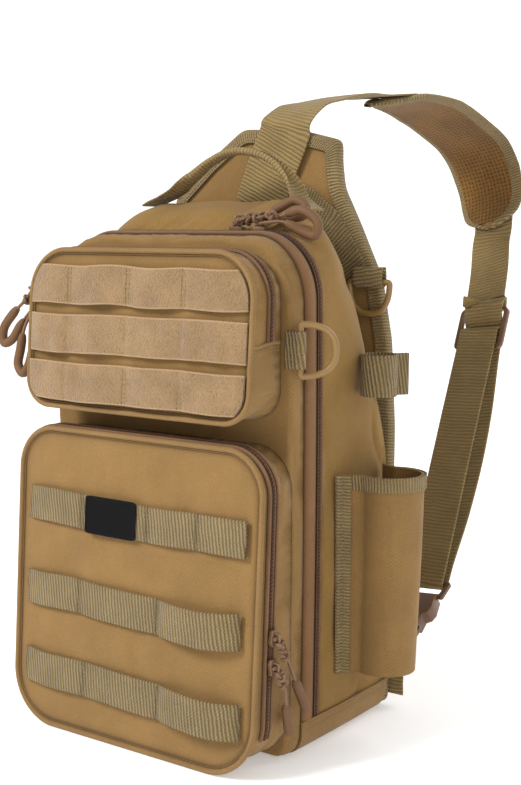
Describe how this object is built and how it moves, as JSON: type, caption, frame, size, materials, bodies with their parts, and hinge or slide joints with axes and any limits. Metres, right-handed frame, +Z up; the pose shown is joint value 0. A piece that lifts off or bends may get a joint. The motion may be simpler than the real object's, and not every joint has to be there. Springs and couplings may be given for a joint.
{
  "type": "fishing sling backpack",
  "caption": "Tan one-shoulder fishing backpack with front pockets, webbing rows, a padded strap, a rod sleeve and a rod loop.",
  "frame": {"origin": "underside of the flat base, below the middle of the bag's width", "axes": "+Z up, +Y to the back panel and the strap, +X to the side with the rod sleeve"},
  "size_m": [0.299, 0.428, 0.4754],
  "materials": {
    "cloth": "woven matte",
    "webbing": "ribbed matte",
    "pile": "looped matte",
    "zip": "coiled satin",
    "welt": "woven matte",
    "mesh": "open mesh",
    "label": "matte",
    "tan_plastic": "semi-gloss",
    "brown_plastic": "semi-gloss",
    "pull": "matte",
    "slider": "satin"
  },
  "bodies": {
    "pack": {"back_binding": "webbing", "back_panel": "cloth", "base_band": "cloth", "buckle_clip": "brown_plastic", "buckle_housing": "brown_plastic", "buckle_tab": "webbing", "d_ring_loop_left": "webbing", "d_ring_loop_right": "webbing", "d_ring_loop_yoke": "webbing", "grab_handle": "webbing", "label_patch": "label", "lower_pocket_piping": "cloth", "lower_pocket_shell": "cloth", "lower_pocket_zip": "zip", "main_front_shell": "cloth", "main_rear_shell": "cloth", "main_welt": "welt", "main_zip": "zip", "pile_strip_1": "pile", "pile_strip_2": "pile", "pile_strip_3": "pile", "pull_lower_1": "pull", "pull_lower_2": "pull", "pull_main_1": "pull", "pull_main_2": "pull", "pull_upper_1": "pull", "pull_upper_2": "pull", "rod_loop": "webbing", "rod_sleeve": "cloth", "rod_sleeve_front_tape": "webbing", "rod_sleeve_top_tape": "webbing", "shoulder_pad": "cloth", "shoulder_pad_binding": "webbing", "shoulder_pad_mesh": "mesh", "slider_lower_1": "slider", "slider_lower_2": "slider", "slider_main_1": "slider", "slider_main_2": "slider", "slider_upper_1": "slider", "slider_upper_2": "slider", "strap_adjuster": "brown_plastic", "strap_webbing": "webbing", "upper_pocket_piping": "cloth", "upper_pocket_shell": "cloth", "upper_pocket_zip": "zip", "webbing_row_1": "webbing", "webbing_row_2": "webbing", "webbing_row_3": "webbing", "yoke_patch": "webbing", "yoke_webbing": "webbing"},
    "right_ring": {"d_ring_right": "tan_plastic"},
    "left_ring": {"d_ring_left": "tan_plastic"},
    "yoke_ring": {"d_ring_yoke": "tan_plastic"}
  },
  "joints": [
    {"name": "right_ring_swing", "type": "hinge", "parent": "pack", "child": "right_ring", "pos_m": [0.11256, -0.0835, 0.2841], "axis": [0, 0, 1], "range_deg": [-100, 55]},
    {"name": "left_ring_swing", "type": "hinge", "parent": "pack", "child": "left_ring", "pos_m": [-0.11256, -0.0835, 0.2841], "axis": [0, 0, 1], "range_deg": [-55, 75]},
    {"name": "yoke_ring_swing", "type": "hinge", "parent": "pack", "child": "yoke_ring", "pos_m": [0.08988, 0.0413, 0.3249], "axis": [1, 0, 0], "range_deg": [-4, 7]}
  ]
}
